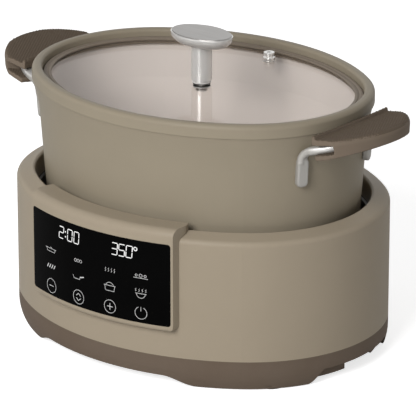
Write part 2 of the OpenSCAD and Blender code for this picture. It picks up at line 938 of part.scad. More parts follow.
module sensor_thermistor() {
    color(black)
        translate([0, 0, sensor_top - sensor_cap_wall - thermistor_height])
            cylinder(r = thermistor_radius, h = thermistor_height);
}

spring_low = well_inside + spring_wire;
spring_high = sensor_top - sensor_cap_wall - spring_wire;
spring_count = spring_turns * spring_rings;

// Ring of points round the spring's wire at one step of its coil
function spring_ring(step) =
    let (turn = 360 * step / spring_rings,
         height = spring_low + (spring_high - spring_low) * step / spring_count)
    [for (k = [0 : spring_sides - 1])
        let (a = 360 * k / spring_sides, out = spring_radius + spring_wire * cos(a))
            [out * cos(turn), out * sin(turn), height + spring_wire * sin(a)]];

module sensor_spring() {
    points = [for (step = [0 : spring_count]) each spring_ring(step)];
    last = spring_count * spring_sides;
    sides = [
        for (step = [0 : spring_count - 1], k = [0 : spring_sides - 1])
            let (a = step * spring_sides + k,
                 b = step * spring_sides + (k + 1) % spring_sides)
            each [[a, a + spring_sides, b], [b, a + spring_sides, b + spring_sides]]
    ];
    ends = [for (k = [1 : spring_sides - 2]) each [[0, k, k + 1], [last, last + k + 1, last + k]]];
    color(steel) polyhedron(points = points, faces = concat(sides, ends));
}

module thermal_fuse() {
    fuse_radius = 2.2;
    fuse_length = 14;
    clip = [12, 8, 1.2];
    fuse_distance = 34;
    fuse_place = [fuse_distance, 0, plate_bottom];
    color("white") translate(fuse_place) {
        translate([0, 0, -fuse_radius]) rotate([0, 90, 0])
            cylinder(r = fuse_radius, h = fuse_length, center = true);
        translate([-clip[0] / 2, 0, -fuse_radius])
            cube([clip[0], clip[1], fuse_radius]);
    }
}

module power_board() {
    color(board_green) translate([power_centre[0], power_centre[1], power_bottom])
        translate([-power_size[0] / 2, -power_size[1] / 2, 0])
            cube([power_size[0], power_size[1], board_thickness]);
}

module power_components() {
    color(black) {
        translate([relay_centre[0], relay_centre[1], power_top + relay_size[2] / 2])
            cube(relay_size, center = true);
        translate([coil_centre[0], coil_centre[1], power_top + coil_size[2] / 2])
            cube(coil_size, center = true);
        translate([capacitor_centre[0], capacitor_centre[1], power_top])
            cylinder(r = capacitor_radius, h = capacitor_height);
    }
}

module element_leads() {
    color("red") for (side = [-1, 1])
        translate([side * terminal_half, 0, 0]) {
            translate([0, terminal_y, lead_height])
                cylinder(r = lead_radius, h = terminal_bottom - lead_height);
            translate([0, terminal_y, lead_height]) rotate([-90, 0, 0])
                cylinder(r = lead_radius, h = lead_end - terminal_y);
            translate([0, lead_end, power_top])
                cylinder(r = lead_radius, h = lead_height - power_top);
            for (y = [terminal_y, lead_end])
                translate([0, y, lead_height]) sphere(r = lead_radius);
        }
}

module ribbon_cable() {
    front = board_front + board_thickness;
    color("lightgrey") translate([ribbon_x, 0, 0]) rotate([90, 0, 90])
        linear_extrude(ribbon_width, center = true)
            polygon([
                [front, ribbon_start],
                [front, ribbon_height],
                [ribbon_end - ribbon_thickness, ribbon_height],
                [ribbon_end - ribbon_thickness, power_top],
                [ribbon_end, power_top],
                [ribbon_end, ribbon_height + ribbon_thickness],
                [front + ribbon_thickness, ribbon_height + ribbon_thickness],
                [front + ribbon_thickness, ribbon_start]
            ]);
}

module cord_gland() {
    color(black) translate([0, 0, gland_height]) rotate([-90, 0, 0]) difference() {
        union() {
            translate([0, 0, gland_inside]) cylinder(r = gland_body, h = gland_reach - gland_inside);
            translate([0, 0, base_half + fit_gap])
                cylinder(r = gland_flange, h = gland_reach - base_half - fit_gap);
        }
        translate([0, 0, gland_inside - 1]) cylinder(r = gland_bore, h = reach);
    }
}

// Outer line of the pot from its floor to the lip's underside, grown by a clearance
function pot_line(grow) = concat(
    arc([pot_half(plate_top + pot_corner) - pot_corner, plate_top + pot_corner],
        pot_corner + grow, -90, -pot_draft),
    [for (i = [0 : flare_steps])
        let (share = i / flare_steps, z = flare_start + flare_height * share)
            [pot_half(z) + pot_flare * share * share + grow, z]]
);

module cooking_pot() {
    inner_corner = pot_corner - pot_floor;
    inner_wall = pot_half(plate_top + pot_corner) - pot_wall;
    color(taupe) {
        oval_sweep() polygon(concat(
            [[pot_core, plate_top]],
            pot_line(0),
            arc([rim_half - lip_outer_radius / 4, lip_underside + lip_outer_radius / 4],
                lip_outer_radius / 4, -90, 0, 3),
            arc([rim_half - lip_outer_radius, rim_height - lip_outer_radius],
                lip_outer_radius, 0, 90),
            arc([lip_inner + lip_inner_radius, rim_height - lip_inner_radius],
                lip_inner_radius, 90, 180),
            [[lip_inner, ledge_height], [ledge_half, ledge_height], [ledge_half, flare_start]],
            arc([inner_wall - inner_corner, pot_inside + inner_corner], inner_corner, 0, -90),
            [[pot_core, pot_inside]]
        ));
        oval_plate(pot_core + pot_corner / 2, plate_top, pot_inside);
    }
}

// Places what follows in the tilted frame of the right handle's bow
module bow_frame() {
    translate([bow_centre, 0, bow_height]) rotate([0, -bow_tilt, 0]) children();
}

// Section of the bar, width across and thickness up
module bar_section(inset = 0) {
    rounded_rect(bar_width - 2 * inset, bar_thickness - 2 * inset, bar_corner - inset);
}

// Bend down from one end of the bow. It is slightly slimmer than the bow and reaches a
// little way into it.
module bar_bend_down(face) {
    bend_angle = 90 - bow_tilt;
    rotate([0, 0, face * bow_sweep]) translate([bow_radius, 0, 0])
        rotate([0, 0, face > 0 ? 0 : 180])
            translate([0, 0, -bar_bend]) rotate([0, -90, 0])
                rotate([0, 0, -bend_overlap])
                    rotate_extrude(angle = bend_angle + 2 * bend_overlap)
                        translate([bar_bend, 0]) rotate(90) bar_section(bend_inset);
}

// Flat leg that lies along the pot's wall below a bend, with rounded corners
module bar_leg(face) {
    translate([end_centre, 0, leg_middle]) rotate([0, 0, face * leg_angle])
        translate([leg_radius - leg_sink, 0, 0]) rotate([0, pot_draft, 0]) rotate([90, 0, 90])
            linear_extrude(bar_thickness + leg_sink)
                rounded_rect(bar_width, leg_length, leg_corner);
}

module handle_bar() {
    color(steel) difference() {
        union() {
            bow_frame() {
                rotate([0, 0, -bow_sweep]) rotate_extrude(angle = 2 * bow_sweep)
                    translate([bow_radius, 0]) bar_section();
                for (face = [-1, 1]) bar_bend_down(face);
            }
            for (face = [-1, 1]) bar_leg(face);
        }
        end_revolve(1) polygon(concat(
            [[pot_core, plate_top - leg_clear]],
            pot_line(leg_clear),
            [[pot_core, lip_underside]]
        ));
    }
}

// Places what follows in the tilted frame of the right grip's top
module grip_frame() {
    translate([grip_centre, 0, grip_height]) rotate([0, -grip_tilt, 0]) children();
}

// Everything past an angle on both sides of the bow, from a height upwards
module bow_ends(sweep, bottom) {
    for (face = [0, 1])
        mirror([0, face, 0]) rotate([0, 0, sweep])
            span([-reach, 0, bottom], [reach, reach, reach]);
}

module grip() {
    lower_radius = grip_radius - grip_depth * tan(grip_draft);
    color(brown) difference() {
        union() {
            grip_frame() rotate_extrude() polygon(concat(
                [[0, -grip_depth], [lower_radius, -grip_depth]],
                arc([grip_radius - grip_edge_radius, -grip_edge_radius], grip_edge_radius,
                    -grip_draft, 90, 6),
                [[0, 0]]
            ));
            intersection() {
                grip_frame() span([-grip_radius, -reach, -grip_top], [grip_radius, reach, ridge_height]);
                translate([grip_inner - grip_inner_radius, 0, 0])
                    cylinder(r = grip_inner_radius + ridge_width, h = reach);
            }
        }
        translate([bow_centre, 0, lip_height_at_centre]) rotate([0, -lip_tilt, 0])
            span([-reach, -reach, -reach], [reach, reach, 0]);
        intersection() {
            grip_frame() span([-reach, -reach, -reach], [reach, reach, -grip_top]);
            bow_frame() {
                translate([0, 0, -channel_half]) cylinder(r = channel_outer, h = reach);
                translate([0, 0, -reach]) cylinder(r = channel_inner, h = reach);
                bow_ends(wall_sweep, -channel_half - wall_step);
                bow_ends(tail_sweep, -reach);
            }
        }
        for (face = [0, 1])
            mirror([0, face, 0]) span([0, grip_half, 0], [reach, reach, reach]);
        translate([grip_inner - grip_inner_radius, 0, 0])
            cylinder(r = grip_inner_radius, h = reach);
    }
}

module right_handle_bar() { handle_bar(); }
module left_handle_bar() { mirror([1, 0, 0]) handle_bar(); }
module right_grip() { grip(); }
module left_grip() { mirror([1, 0, 0]) grip(); }

module lid_glass() {
    color(glass_tint) difference() {
        oval_plate(glass_half, glass_bottom, glass_top);
        translate([0, 0, glass_bottom - 1]) cylinder(r = glass_hole, h = glass_thickness + 2);
        translate([0, vent_distance, glass_bottom - 1])
            cylinder(r = vent_hole, h = glass_thickness + 2);
    }
}

module lid_rim() {
    slot_outer = glass_half + fit_gap;
    lower_inner = slot_outer - band_lower_share * band_grip;
    color(taupe) oval_sweep() polygon([
        [lower_inner, lid_seat],
        [band_outer, lid_seat],
        [band_outer, band_top - groove_depth],
        [band_outer - groove_depth, band_top],
        [band_outer - bead_width, band_top],
        [band_outer - bead_width - groove_depth, band_top - groove_depth],
        [band_outer - bead_width - groove_depth - groove_width, band_top - groove_depth],
        [band_outer - bead_width - 2 * groove_depth - groove_width, band_top],
        [band_inner + groove_depth, band_top],
        [band_inner, band_top - groove_depth],
        [band_inner, glass_top],
        [slot_outer, glass_top],
        [slot_outer, glass_bottom],
        [lower_inner, glass_bottom]
    ]);
}

module steam_vent() {
    neck = glass_top + vent_flange_height;
    head = neck + vent_neck_height;
    color(steel) translate([0, vent_distance, 0]) difference() {
        union() {
            translate([0, 0, glass_bottom - vent_flange_height])
                cylinder(r = vent_flange, h = vent_flange_height);
            translate([0, 0, glass_bottom - vent_flange_height / 2])
                cylinder(r = vent_tube, h = glass_thickness + vent_flange_height);
            translate([0, 0, glass_top]) cylinder(r = vent_flange, h = vent_flange_height);
            translate([0, 0, glass_top]) cylinder(r = vent_neck, h = head - glass_top);
            translate([0, 0, head]) cylinder(r = vent_head, h = vent_head_height);
        }
        translate([0, 0, glass_bottom - 2]) cylinder(r = vent_bore, h = reach);
    }
}

module knob_cap() {
    half = knob_depth / 2;
    color(steel) {
        oval_sweep(knob_stretch) polygon(concat(
            [[cap_core_ring, cap_bottom]],
            [for (i = [0 : bowl_steps])
                let (a = 90 * i / bowl_steps)
                    [cap_foot + (half - cap_foot) * sin(a),
                     cap_top - cap_edge - (knob_bowl - cap_edge) * cos(a)]],
            [[half, cap_top], [half - cap_rim, cap_top],
             [half - cap_rim, cap_top - disc_recess], [cap_core_ring, cap_top - disc_recess]]
        ));
        oval_core(cap_core_side, cap_core_end, cap_bottom, cap_top - disc_recess, knob_stretch);
    }
}

module knob_top_disc() {
    bottom = cap_top - disc_recess;
    color(sheet_grey)
        oval_plate(knob_depth / 2 - cap_rim - slide_gap, bottom, bottom + disc_thickness,
                   knob_stretch);
}

module knob_stem() {
    color(steel) difference() {
        translate([0, 0, stem_bottom]) cylinder(d = stem_diameter, h = stem_height);
        translate([0, 0, stem_bottom - 1]) cylinder(r = knob_bore, h = knob_bore_depth + 1);
    }
}

// Flat ring on the knob's axis
module knob_ring(outer, bottom, height) {
    translate([0, 0, bottom]) difference() {
        cylinder(r = outer, h = height);
        translate([0, 0, -1]) cylinder(r = knob_bore, h = height + 2);
    }
}

module knob_collar() { color(steel) knob_ring(collar_radius, collar_bottom, collar_height); }
module knob_gasket() { color(black) knob_ring(gasket_radius, glass_top, gasket_thickness); }
module knob_washer() {
    color(steel) knob_ring(washer_radius, glass_bottom - washer_thickness, washer_thickness);
}

module knob_screw() {
    head_top = glass_bottom - washer_thickness;
    color(steel) {
        translate([0, 0, head_top - knob_head_height])
            cylinder(r = knob_head_radius, h = knob_head_height);
        translate([0, 0, head_top - slide_gap])
            cylinder(r = knob_screw_radius,
                     h = stem_bottom + knob_bore_depth - 2 - head_top + slide_gap);
    }
}

base_shell();
control_housing();
touch_panel();
display_modules();
control_board();
board_screws();
bottom_tray();
rubber_feet();
tray_screws();
inner_well();
well_seal();
well_screws();
heating_plate();
heating_element();
plate_posts();
sensor_guide();
sensor_cap();
sensor_thermistor();
sensor_spring();
thermal_fuse();
power_board();
power_components();
element_leads();
ribbon_cable();
cord_gland();
cooking_pot();
right_handle_bar();
left_handle_bar();
right_grip();
left_grip();
lid_glass();
lid_rim();
steam_vent();
knob_cap();
knob_top_disc();
knob_stem();
knob_collar();
knob_gasket();
knob_washer();
knob_screw();
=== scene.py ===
"""Studio scene of an oval multicooker: a heated base, a lift-out pot and a lift-off glass lid."""
import json
import math

import bmesh
import bpy
from mathutils import Matrix, Vector

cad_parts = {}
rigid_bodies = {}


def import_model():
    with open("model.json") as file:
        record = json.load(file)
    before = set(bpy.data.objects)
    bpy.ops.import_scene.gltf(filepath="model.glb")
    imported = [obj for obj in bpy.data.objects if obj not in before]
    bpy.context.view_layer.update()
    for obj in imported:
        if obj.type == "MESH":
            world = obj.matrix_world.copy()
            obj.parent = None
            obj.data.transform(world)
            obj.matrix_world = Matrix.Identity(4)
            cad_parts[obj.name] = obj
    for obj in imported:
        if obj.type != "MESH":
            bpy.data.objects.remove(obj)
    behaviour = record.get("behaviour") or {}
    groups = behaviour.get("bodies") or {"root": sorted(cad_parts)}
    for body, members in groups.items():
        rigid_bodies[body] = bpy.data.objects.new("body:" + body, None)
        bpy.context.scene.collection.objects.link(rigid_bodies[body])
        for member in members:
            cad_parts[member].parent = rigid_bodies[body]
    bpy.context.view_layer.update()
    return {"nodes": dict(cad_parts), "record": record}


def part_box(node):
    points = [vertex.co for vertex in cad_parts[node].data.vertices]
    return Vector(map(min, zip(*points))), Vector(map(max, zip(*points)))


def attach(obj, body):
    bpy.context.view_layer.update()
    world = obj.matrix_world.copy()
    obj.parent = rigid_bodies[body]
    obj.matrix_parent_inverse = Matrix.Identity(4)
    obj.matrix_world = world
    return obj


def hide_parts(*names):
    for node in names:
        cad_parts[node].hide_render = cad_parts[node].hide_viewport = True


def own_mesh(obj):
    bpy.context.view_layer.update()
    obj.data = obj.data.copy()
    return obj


for leftover in list(bpy.data.objects):
    bpy.data.objects.remove(leftover)

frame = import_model()
NODES = frame["nodes"]
SLOT_OF = {row["node"]: row["material_slot"] for row in frame["record"]["subparts"]}
MM = 0.001

# Camera, fitted to the photograph
PICTURE_SIZE = 416
CAMERA_TURN = math.radians(39.82)
CAMERA_RISE = math.radians(19.892)
CAMERA_DISTANCE = 3.16915
FOCAL_PIXELS = 3728.72
SENSOR = 36.0
AIM_ACROSS = 0.00526
AIM_HEIGHT = 0.1062
CLIP_END = 50.0

# Colours, linear
TAUPE = (0.31, 0.261, 0.195)
TAUPE_SHADE = (0.3, 0.252, 0.188)
POT_TAUPE = (0.267, 0.23, 0.171)
POT_SHADE = (0.258, 0.222, 0.165)
INSIDE_GREY = (0.69, 0.625, 0.58)
BAND_TAUPE = (0.2, 0.165, 0.13)
BAND_SHADE = (0.19, 0.155, 0.12)
SKIRT_BROWN = (0.117, 0.087, 0.064)
SKIRT_SHADE = (0.13, 0.1, 0.076)
GRIP_BROWN = (0.165, 0.13, 0.099)
GRIP_SHADE = (0.152, 0.119, 0.09)
# Painted shade: a darker brown for the grips' up-facing tops, in place of the shadows in their hatch
GRIP_TOP_PAINTED_SHADE = (0.108, 0.083, 0.061)
STEEL = (0.8, 0.79, 0.77)
STEEL_SHADE = (0.86, 0.85, 0.83)
# Painted shade: a darker steel for the handle bars' legs, in place of the dark reflections they show
LEG_STEEL_PAINTED_DARK = (0.4, 0.385, 0.36)
GLASS_TINT = (0.95, 0.94, 0.93)
GLASS_SHADOW = (0.93, 0.92, 0.91)
LIGHT_COLOUR = (1.0, 0.99, 0.97)
WHITE = (1.0, 1.0, 1.0)

# Noise that every finish starts from, the middle part of its range, and the size of colour mottle
NOISE_DETAIL = 4.0
NOISE_ROUGHNESS = 0.6
NOISE_LOW = 0.3
NOISE_HIGH = 0.7
MOTTLE = 18.0
EVEN = (1.0, 1.0, 1.0)

# Thin lid glass, with the weak reflection that the photograph shows
GLASS_IOR = 1.12
GLASS_SMEAR = 30.0
GLASS_ROUGHNESS = (0.0, 0.03)

# The pot's inside: how far a face looks in or up, and the height of the lid's seat on the pot's mesh
LEVEL_ONLY = (1.0, 1.0, 0.0)
INWARD_LIMIT = -0.01
FLOOR_UP = 0.5
LID_SEAT = 212.8 * MM

# How far a face looks up to count as a grip's top, where the painted shade goes
GRIP_TOP_UP = 0.6

# Height on the handle bars' meshes above which they are polished and bright, and the fade below it to
# satin with a darker colour, which is painted shade in place of the dark reflections on the legs
LEG_TOP = 208 * MM
LEG_FADE = 5 * MM
LEG_ROUGHNESS = 0.5

# Light behind the panel's glass
MARK_BASE = 0.45
MARK_GRAIN = 900.0
MARK_ROUGHNESS = (0.35, 0.5)
DIGIT_GLOW = 0.5
MARK_GLOW = 0.12

# Rounding of the remeshed pieces
WELD_DISTANCE = 0.001 * MM
SMOOTH_FACTOR = 0.5
GRIP_VOXEL = 0.6 * MM
GRIP_SMOOTH_STEPS = 10
BAR_VOXEL = 0.5 * MM
BAR_SMOOTH_STEPS = 7
BAR_SWELL = 0.5 * MM
LEG_ROUND_TOP = 194 * MM
LEG_ROUND_STEPS = 22

# Turned rings under the knob
RING_SEGMENTS = 96
RING_EDGE = 0.25 * MM
FOOT_RADIUS = 8.1 * MM
FOOT_GROOVES = 2
SEAL_RADIUS = 7.6 * MM
FOOT_BORE = 2.6 * MM
GROOVE_HALF = 0.35 * MM
GROOVE_DEPTH = 0.45 * MM

# Raised hatch on the grips
HATCH_PITCH = 2.5 * MM
HATCH_HEIGHT = 0.8 * MM
HATCH_SKEW = 0.6
HATCH_STAGGER = 0.5
HATCH_MARGIN = 4.5 * MM
HATCH_UP = 0.75

# The touch panel's curved front, and the marks' plates on it
PANEL_AXIS = 68 * MM
PANEL_RADIUS = PANEL_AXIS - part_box("touch_panel")[0].y
MARK_RISE = 0.06 * MM
MARK_SINK = 0.05 * MM

# Strokes of the marks, in millimetres like everything that is drawn on the panel
STROKE_STEP = 2.5
MARK_STROKE = 0.38
BOLD_STROKE = 0.9
SIGN_STROKE = 0.55

# Lit digits with their left edges, a colon in the time and a degree ring after the temperature
DIGIT_HEIGHT = 10.2
DIGIT_WIDTH = 5.6
DIGIT_STROKE = 0.75
DIGIT_SLANT = 0.08
DIGIT_GAP = 0.18
DIGIT_FOOT = 111.0
TIME_DIGITS = (("2", -37.0), ("0", -26.4), ("0", -18.6))
HEAT_DIGITS = (("3", 22.2), ("5", 29.2), ("0", 36.2))
COLON_ACROSS = -28.6
COLON_HEIGHTS = (113.6, 118.0)
COLON_SIZE = 1.2
DEGREE_PLACE = (45.2, 119.6)
DEGREE_RADIUS = 1.5
DEGREE_STROKE = 0.7
DEGREE_SIDES = 12
SEGMENTS = {
    "0": "abcdef", "1": "bc", "2": "abged", "3": "abgcd", "4": "fgbc",
    "5": "afgcd", "6": "afgedc", "7": "abc", "8": "abcdefg", "9": "abcdfg",
}

# Pictograms in two rows
COLUMNS = (-48.4, -13.7, 20.4, 49.8)
FIRST_ROW = 96.5
SECOND_ROW = 81.8
FOUR_ABREAST = (-4.5, -1.5, 1.5, 4.5)
ICON_HALF = 1.7
WAVE_SWING = 0.8
SMALL_SIDES = 10

# Touch buttons under them
BUTTON_ROW = 64.4
BUTTON_RADII = (6.2, 6.1, 5.7, 5.3)
BUTTON_SIDES = 36
POWER_START = 115
POWER_END = 425
POWER_SIDES = 32
POWER_STEM = 1.5
SIGN_HALF = 2.9
SIGN_CLEAR = 0.4
ARROW_HALF = 2.6
ARROW_LOW = 1.0
ARROW_TIP = 3.2

# Stage
FLOOR_HALF = 6.0
FLOOR_GLOW = 0.72
FLOOR_ROUGHNESS = 0.9
FLOOR_SPECULAR = 0.1
FLOOR_SPECK = 40.0
FLOOR_PALE = 0.8
FLOOR_PALER = 0.82
WORLD_FILL = 0.26
LAMP_AIM = Vector((0.0, 0.0, 0.12))
# Bearings run from the front towards the right, and only a shining lamp shows in glossy surfaces
LAMPS = {
    "key": dict(bearing=12, rise=31, distance=2.8, size=1.3, share=0.9, shines=True),
    "left": dict(bearing=-75, rise=12, distance=2.8, size=1.0, share=0.06, shines=False),
    "back_right": dict(bearing=140, rise=4, distance=2.4, size=0.8, share=0.13, shines=False),
}


# Materials

def grey(level):
    """A neutral colour."""
    return (level, level, level)


class Graph:
    """The nodes of a material or world, with short calls that add and join them."""

    def __init__(self, tree):
        self.nodes = tree.nodes
        self.links = tree.links
        self.shader = tree.nodes.get("Principled BSDF")

    def feed(self, socket, value):
        """Links an input to another node's output, or sets a number or colour on it."""
        if isinstance(value, bpy.types.NodeSocket):
            self.links.new(value, socket)
        elif socket.type == "RGBA":
            socket.default_value = (*value, 1.0)
        else:
            socket.default_value = value

    def fill(self, node, **values):
        """Feeds a node's inputs by name, with underscores for spaces."""
        for key, value in values.items():
            self.feed(node.inputs[key.replace("_", " ")], value)

    def add(self, kind, **values):
        """A new node with its named inputs fed."""
        node = self.nodes.new("ShaderNode" + kind)
        self.fill(node, **values)
        return node

    def pair(self, kind, operation, first, second):
        """A maths node that works on two values."""
        node = self.add(kind)
        node.operation = operation
        self.feed(node.inputs[0], first)
        self.feed(node.inputs[1], second)
        return node

    def maths(self, operation, first, second):
        """The number that a maths node makes of two numbers."""
        return self.pair("Math", operation, first, second).outputs["Value"]

    def noise(self, scale, stretch=EVEN):
        """Noise in object space, optionally stretched into streaks."""
        place = self.add("TexCoord")
        mapping = self.add("Mapping", Vector=place.outputs["Object"], Scale=stretch)
        noise = self.add("TexNoise", Vector=mapping.outputs["Vector"], Scale=scale,
                         Detail=NOISE_DETAIL, Roughness=NOISE_ROUGHNESS)
        return noise.outputs["Fac"]

    def spread(self, source, low, high):
        """The middle part of a noise, mapped onto a range of values."""
        ramp = self.add("MapRange", Value=source, From_Min=NOISE_LOW, From_Max=NOISE_HIGH,
                        To_Min=low, To_Max=high)
        return ramp.outputs["Result"]

    def mix(self, factor, first, second, kind="RGBA"):
        """A blend from a first to a second colour, or of numbers where the kind is FLOAT."""
        blend = self.add("Mix")
        blend.data_type = kind
        self.fill(blend, Factor=factor, A=first, B=second)
        return blend.outputs["Result"]

    def bump(self, source, distance):
        """A normal that follows a noise as relief."""
        relief = self.add("Bump", Height=source, Distance=distance, Strength=1.0)
        return relief.outputs["Normal"]

    def height(self):
        """Height on the piece's own mesh, which a lift doesn't change."""
        place = self.add("TexCoord")
        split = self.add("SeparateXYZ", Vector=place.outputs["Object"])
        return split.outputs["Z"]

    def facing_up(self, limit):
        """1 where the surface looks up more than a limit, and 0 elsewhere."""
        geometry = self.add("NewGeometry")
        split = self.add("SeparateXYZ", Vector=geometry.outputs["Normal"])
        return self.maths("GREATER_THAN", split.outputs["Z"], limit)

    def source(self, name):
        """What already feeds one of the main shader's inputs."""
        return self.shader.inputs[name].links[0].from_socket

    def mix_shaders(self, factor, first, second):
        """A blend from a first to a second shader."""
        blend = self.add("MixShader", Fac=factor)
        self.feed(blend.inputs[1], first)
        self.feed(blend.inputs[2], second)
        return blend.outputs["Shader"]

    def show(self, shader, output="Material Output"):
        """Makes a shader the one that is seen."""
        self.fill(self.nodes[output], Surface=shader)


def new_material(name):
    """A material with its Principled shader, and its graph."""
    material = bpy.data.materials.new(name)
    material.use_nodes = True
    return material, Graph(material.node_tree)


def surface(name, colour, shade, roughness, grain, depth, metallic=0.0, stretch=EVEN, specular=0.5):
    """A grained surface: colour mottle, roughness variation and a fine bump."""
    material, graph = new_material(name)
    broad = graph.noise(MOTTLE)
    fine = graph.noise(grain, stretch)
    graph.fill(graph.shader, Metallic=metallic, Specular_IOR_Level=specular,
               Base_Color=graph.mix(graph.spread(broad, 0.0, 1.0), colour, shade),
               Roughness=graph.spread(fine, *roughness),
               Normal=graph.bump(fine, depth))
    return material


def lit_mark(name, strength):
    """White light behind the panel's glass."""
    material, graph = new_material(name)
    fine = graph.noise(MARK_GRAIN)
    graph.fill(graph.shader, Base_Color=grey(MARK_BASE), Emission_Color=LIGHT_COLOUR,
               Emission_Strength=strength, Roughness=graph.spread(fine, *MARK_ROUGHNESS))
    return material


def clear_glass(name):
    """Faintly smeared glass that lets the light through to what is under it."""
    material, graph = new_material(name)
    smear = graph.noise(GLASS_SMEAR)
    graph.fill(graph.shader, Base_Color=GLASS_TINT, Transmission_Weight=1.0, IOR=GLASS_IOR,
               Roughness=graph.spread(smear, *GLASS_ROUGHNESS))
    path = graph.add("LightPath")
    lighting = graph.maths("MAXIMUM", path.outputs["Is Shadow Ray"], path.outputs["Is Diffuse Ray"])
    open_air = graph.add("BsdfTransparent", Color=GLASS_SHADOW)
    graph.show(graph.mix_shaders(lighting, graph.shader.outputs["BSDF"], open_air.outputs["BSDF"]))
    return material


def pot_coating(name):
    """Taupe outside and on the rim, grey ceramic on the inner wall and floor below the lid's seat."""
    material = surface(name, POT_TAUPE, POT_SHADE, roughness=(0.34, 0.42), grain=1400.0,
                       depth=0.004 * MM, specular=0.1)
    graph = Graph(material.node_tree)
    geometry = graph.add("NewGeometry")
    from_axis = graph.pair("VectorMath", "MULTIPLY", geometry.outputs["Position"], LEVEL_ONLY)
    facing = graph.pair("VectorMath", "DOT_PRODUCT", from_axis.outputs["Vector"],
                        geometry.outputs["True Normal"])
    inward = graph.maths("LESS_THAN", facing.outputs["Value"], INWARD_LIMIT)
    wall_or_floor = graph.maths("MAXIMUM", inward, graph.facing_up(FLOOR_UP))
    below_seat = graph.maths("LESS_THAN", graph.height(), LID_SEAT)
    inside = graph.maths("MULTIPLY", wall_or_floor, below_seat)
    graph.fill(graph.shader, Base_Color=graph.mix(inside, graph.source("Base Color"), INSIDE_GREY))
    return material


def hatched_grip_painted_shade(name):
    """Brown silicone, with painted shade on the hatched top, which is darker than the sides in place of
    the hatch's own shadows.
    """
    material = surface(name, GRIP_BROWN, GRIP_SHADE, roughness=(0.5, 0.62), grain=1200.0,
                       depth=0.012 * MM, specular=0.05)
    graph = Graph(material.node_tree)
    # Painted shade on the faces that look up
    top = graph.facing_up(GRIP_TOP_UP)
    graph.fill(graph.shader, Base_Color=graph.mix(top, graph.source("Base Color"), GRIP_TOP_PAINTED_SHADE))
    return material


def steel_with_painted_dark_legs(name):
    """Polished steel that is duller on the handle bars, apart from their tops, and painted darker
    there: painted shade in place of the legs' dark reflections, with the bright tops as a painted
    highlight.
    """
    material = surface(name, STEEL, STEEL_SHADE, roughness=(0.2, 0.27), grain=60.0,
                       depth=0.0005 * MM, metallic=0.5)
    graph = Graph(material.node_tree)
    fade = graph.add("MapRange", Value=graph.height(), From_Min=LEG_TOP - LEG_FADE,
                     From_Max=LEG_TOP, To_Min=0.0, To_Max=1.0)
    polish_and_painted_light = fade.outputs["Result"]
    graph.fill(graph.shader,
               Base_Color=graph.mix(polish_and_painted_light, LEG_STEEL_PAINTED_DARK, graph.source("Base Color")),
               Roughness=graph.mix(polish_and_painted_light, LEG_ROUGHNESS, graph.source("Roughness"), kind="FLOAT"))
    return material


# The finish of each material slot in the record
MATERIALS = {
    "shell_taupe": surface(
        "satin_shell", TAUPE, TAUPE_SHADE,
        roughness=(0.34, 0.42), grain=1600.0, depth=0.005 * MM, specular=0.1),
    "pot_taupe": pot_coating("satin_coating"),
    "band_taupe": surface(
        "silicone_band", BAND_TAUPE, BAND_SHADE,
        roughness=(0.45, 0.55), grain=1500.0, depth=0.006 * MM, specular=0.2),
    "tray_brown": surface(
        "textured_tray", SKIRT_BROWN, SKIRT_SHADE,
        roughness=(0.5, 0.6), grain=1100.0, depth=0.02 * MM, specular=0.08),
    "grip_brown": hatched_grip_painted_shade("silicone_grip"),
    "black_rubber": surface(
        "black_rubber", colour=(0.022, 0.021, 0.02), shade=(0.03, 0.029, 0.028),
        roughness=(0.6, 0.75), grain=900.0, depth=0.02 * MM),
    "panel_black": surface(
        "panel_glass", colour=grey(0.0015), shade=grey(0.002),
        roughness=(0.08, 0.14), grain=260.0, depth=0.0005 * MM, specular=0.014),
    "display_white": surface(
        "display_diffuser", colour=(0.8, 0.8, 0.78), shade=(0.76, 0.76, 0.74),
        roughness=(0.35, 0.45), grain=700.0, depth=0.004 * MM),
    # Painted shade on the handle bars' legs, below their bright polished tops
    "polished_steel": steel_with_painted_dark_legs("polished_steel"),
    "brushed_disc": surface(
        "brushed_disc", colour=(0.36, 0.35, 0.34), shade=(0.32, 0.31, 0.3),
        roughness=(0.3, 0.42), grain=900.0, depth=0.006 * MM, metallic=1.0,
        stretch=(0.03, 1.0, 1.0)),
    "screw_steel": surface(
        "plated_steel", colour=(0.62, 0.61, 0.59), shade=(0.56, 0.55, 0.53),
        roughness=(0.25, 0.4), grain=1200.0, depth=0.004 * MM, metallic=1.0),
    "well_sheet": surface(
        "drawn_sheet", colour=grey(0.42), shade=grey(0.36),
        roughness=(0.35, 0.5), grain=500.0, depth=0.006 * MM, metallic=1.0,
        stretch=(1.0, 1.0, 0.06)),
    "plate_aluminium": surface(
        "cast_aluminium", colour=grey(0.6), shade=grey(0.52),
        roughness=(0.4, 0.55), grain=800.0, depth=0.02 * MM, metallic=1.0),
    "element_sheath": surface(
        "oxidised_sheath", colour=(0.16, 0.13, 0.11), shade=(0.09, 0.075, 0.065),
        roughness=(0.5, 0.7), grain=600.0, depth=0.02 * MM, metallic=0.7),
    "board": surface(
        "board_laminate", colour=(0.03, 0.16, 0.06), shade=(0.02, 0.12, 0.045),
        roughness=(0.35, 0.5), grain=500.0, depth=0.01 * MM),
    "component_black": surface(
        "component_black", colour=grey(0.02), shade=grey(0.035),
        roughness=(0.4, 0.55), grain=900.0, depth=0.01 * MM),
    "lead_red": surface(
        "lead_sleeve", colour=(0.45, 0.025, 0.02), shade=(0.38, 0.02, 0.016),
        roughness=(0.45, 0.6), grain=900.0, depth=0.01 * MM),
    "ribbon_grey": surface(
        "ribbon_cable", colour=grey(0.42), shade=grey(0.34),
        roughness=(0.45, 0.6), grain=700.0, depth=0.02 * MM, stretch=(1.0, 0.02, 0.02)),
    "lid_glass": clear_glass("toughened_glass"),
}
DIGIT_LIGHT = lit_mark("digit_light", DIGIT_GLOW)
